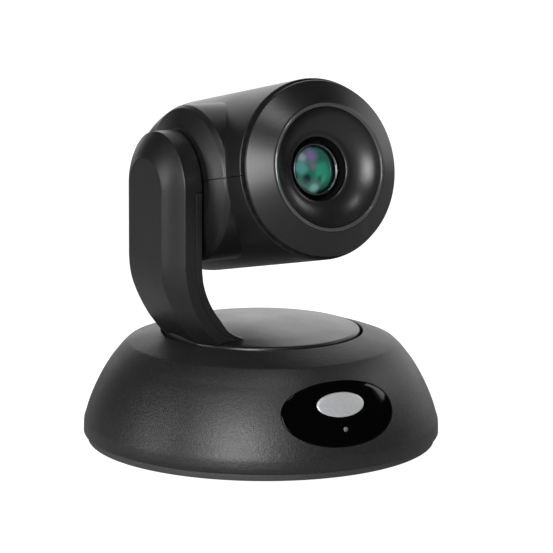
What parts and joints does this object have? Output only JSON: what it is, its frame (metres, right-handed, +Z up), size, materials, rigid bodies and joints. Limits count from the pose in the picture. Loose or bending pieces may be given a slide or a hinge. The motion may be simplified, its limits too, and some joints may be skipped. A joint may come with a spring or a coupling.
{
  "type": "ptz camera",
  "caption": "Pan-tilt-zoom conference camera: domed round base, turntable with one curved side arm, and a tilting barrel head with a recessed lens.",
  "frame": {"origin": "centre of the round base, on the surface the feet stand on", "axes": "+Z up along the pan axis; the front window in the base faces -Y; the side arm stands on the -X side"},
  "size_m": [0.1804, 0.1804, 0.1886],
  "materials": {
    "base_plastic": "fine textured charcoal moulded plastic, slight sheen",
    "arm_plastic": "fine textured charcoal moulded plastic",
    "head_plastic": "smooth satin charcoal paint",
    "bezel_plastic": "smooth satin charcoal, a little glossier than the shells",
    "base_pan": "black powder coat",
    "window_gloss": "polished infrared-pass black",
    "badge_metal": "plain brushed silver oval, no mark",
    "led_lens": "frosted grey light pipe, unlit",
    "foot_rubber": "matt black rubber",
    "black_plastic": "plain black moulding",
    "panel_plastic": "fine textured black plastic",
    "circuit_board": "green solder mask",
    "jack_metal": "nickel plated steel shell",
    "cast_metal": "die cast or folded aluminium, matt",
    "machined_metal": "turned aluminium",
    "motor_can": "blackened steel can",
    "brass": "turned brass",
    "gear_plastic": "natural acetal",
    "belt_rubber": "toothed rubber belt, drawn smooth",
    "cable_rubber": "black jacket",
    "lens_carrier": "black lens carrier with its glass",
    "lens_glass": "green and purple anti-reflection coating",
    "steel": "plain steel"
  },
  "bodies": {
    "root": {"base_shell": "base_plastic", "base_plate": "base_pan", "foot_1": "foot_rubber", "foot_2": "foot_rubber", "foot_3": "foot_rubber", "foot_4": "foot_rubber", "ir_window": "window_gloss", "window_badge": "badge_metal", "status_led": "led_lens", "ir_receiver": "black_plastic", "main_board": "circuit_board", "rear_panel": "panel_plastic", "power_jack": "black_plastic", "network_jack": "jack_metal", "serial_jack": "jack_metal", "hdmi_port": "jack_metal", "sdi_connector": "jack_metal", "mode_switch_body": "black_plastic", "pan_chassis": "cast_metal", "pan_motor": "motor_can", "pan_bearing_outer": "steel", "tripod_insert": "brass", "base_screw_1": "steel", "base_screw_2": "steel", "base_screw_3": "steel"},
    "turntable": {"turntable_disc": "base_plastic", "pan_hub": "machined_metal", "pan_gear": "gear_plastic", "pan_bearing_inner": "steel", "arm_frame": "cast_metal", "arm_outer_cover": "arm_plastic", "arm_inner_cover": "arm_plastic", "tilt_motor": "motor_can", "tilt_belt": "belt_rubber", "tilt_bearing_outer": "steel", "arm_cable": "cable_rubber", "arm_screw_1": "steel", "arm_screw_2": "steel"},
    "head": {"head_upper_shell": "head_plastic", "head_lower_shell": "head_plastic", "front_bezel": "bezel_plastic", "lens_hood": "bezel_plastic", "lens_barrel": "black_plastic", "front_lens": "lens_glass", "camera_block": "cast_metal", "sensor_board": "circuit_board", "block_bracket": "machined_metal", "tilt_hub": "machined_metal", "tilt_pulley": "machined_metal", "tilt_bearing_inner": "steel", "guide_rod_1": "steel", "guide_rod_2": "steel", "head_screw_1": "steel", "head_screw_2": "steel"},
    "pan_drive": {"pan_pinion": "brass"},
    "tilt_drive": {"tilt_motor_pulley": "machined_metal"},
    "mode_switch": {"mode_switch_knob": "gear_plastic"},
    "zoom_group": {"zoom_lens_group": "lens_carrier"},
    "focus_group": {"focus_lens_group": "lens_carrier"}
  },
  "joints": [
    {"name": "pan", "type": "hinge", "parent": "root", "child": "turntable", "pos_m": [0, 0, 0.045], "axis": [0, 0, 1], "range_deg": [-158.8, 151.2]},
    {"name": "tilt", "type": "hinge", "parent": "turntable", "child": "head", "pos_m": [0, 0, 0.13466], "axis": [-0.9978, -0.0663, 0], "range_deg": [-42.07, 77.93]},
    {"name": "pan_pinion_spin", "type": "hinge", "parent": "root", "child": "pan_drive", "pos_m": [-0.03248, -0.01875, 0.045], "axis": [0, 0, 1], "range_deg": [-604.8, 635.2]},
    {"name": "tilt_pulley_spin", "type": "hinge", "parent": "turntable", "child": "tilt_drive", "pos_m": [-0.06326, -0.0042, 0.09866], "axis": [-0.9978, -0.0663, 0], "range_deg": [-100.97, 187.03]},
    {"name": "mode_switch_turn", "type": "hinge", "parent": "root", "child": "mode_switch", "pos_m": [0.02, 0.064, 0.031], "axis": [0, 1, 0], "continuous": true},
    {"name": "zoom", "type": "slide", "parent": "head", "child": "zoom_group", "axis": [0.0648, -0.9757, 0.2091], "range_m": [-0.006, 0.01]},
    {"name": "focus", "type": "slide", "parent": "head", "child": "focus_group", "axis": [0.0648, -0.9757, 0.2091], "range_m": [-0.008, 0.005]}
  ],
  "couplings": [
    {"joint": "pan_pinion_spin", "follows": "pan", "ratio": -4},
    {"joint": "tilt_pulley_spin", "follows": "tilt", "ratio": 2.4}
  ]
}
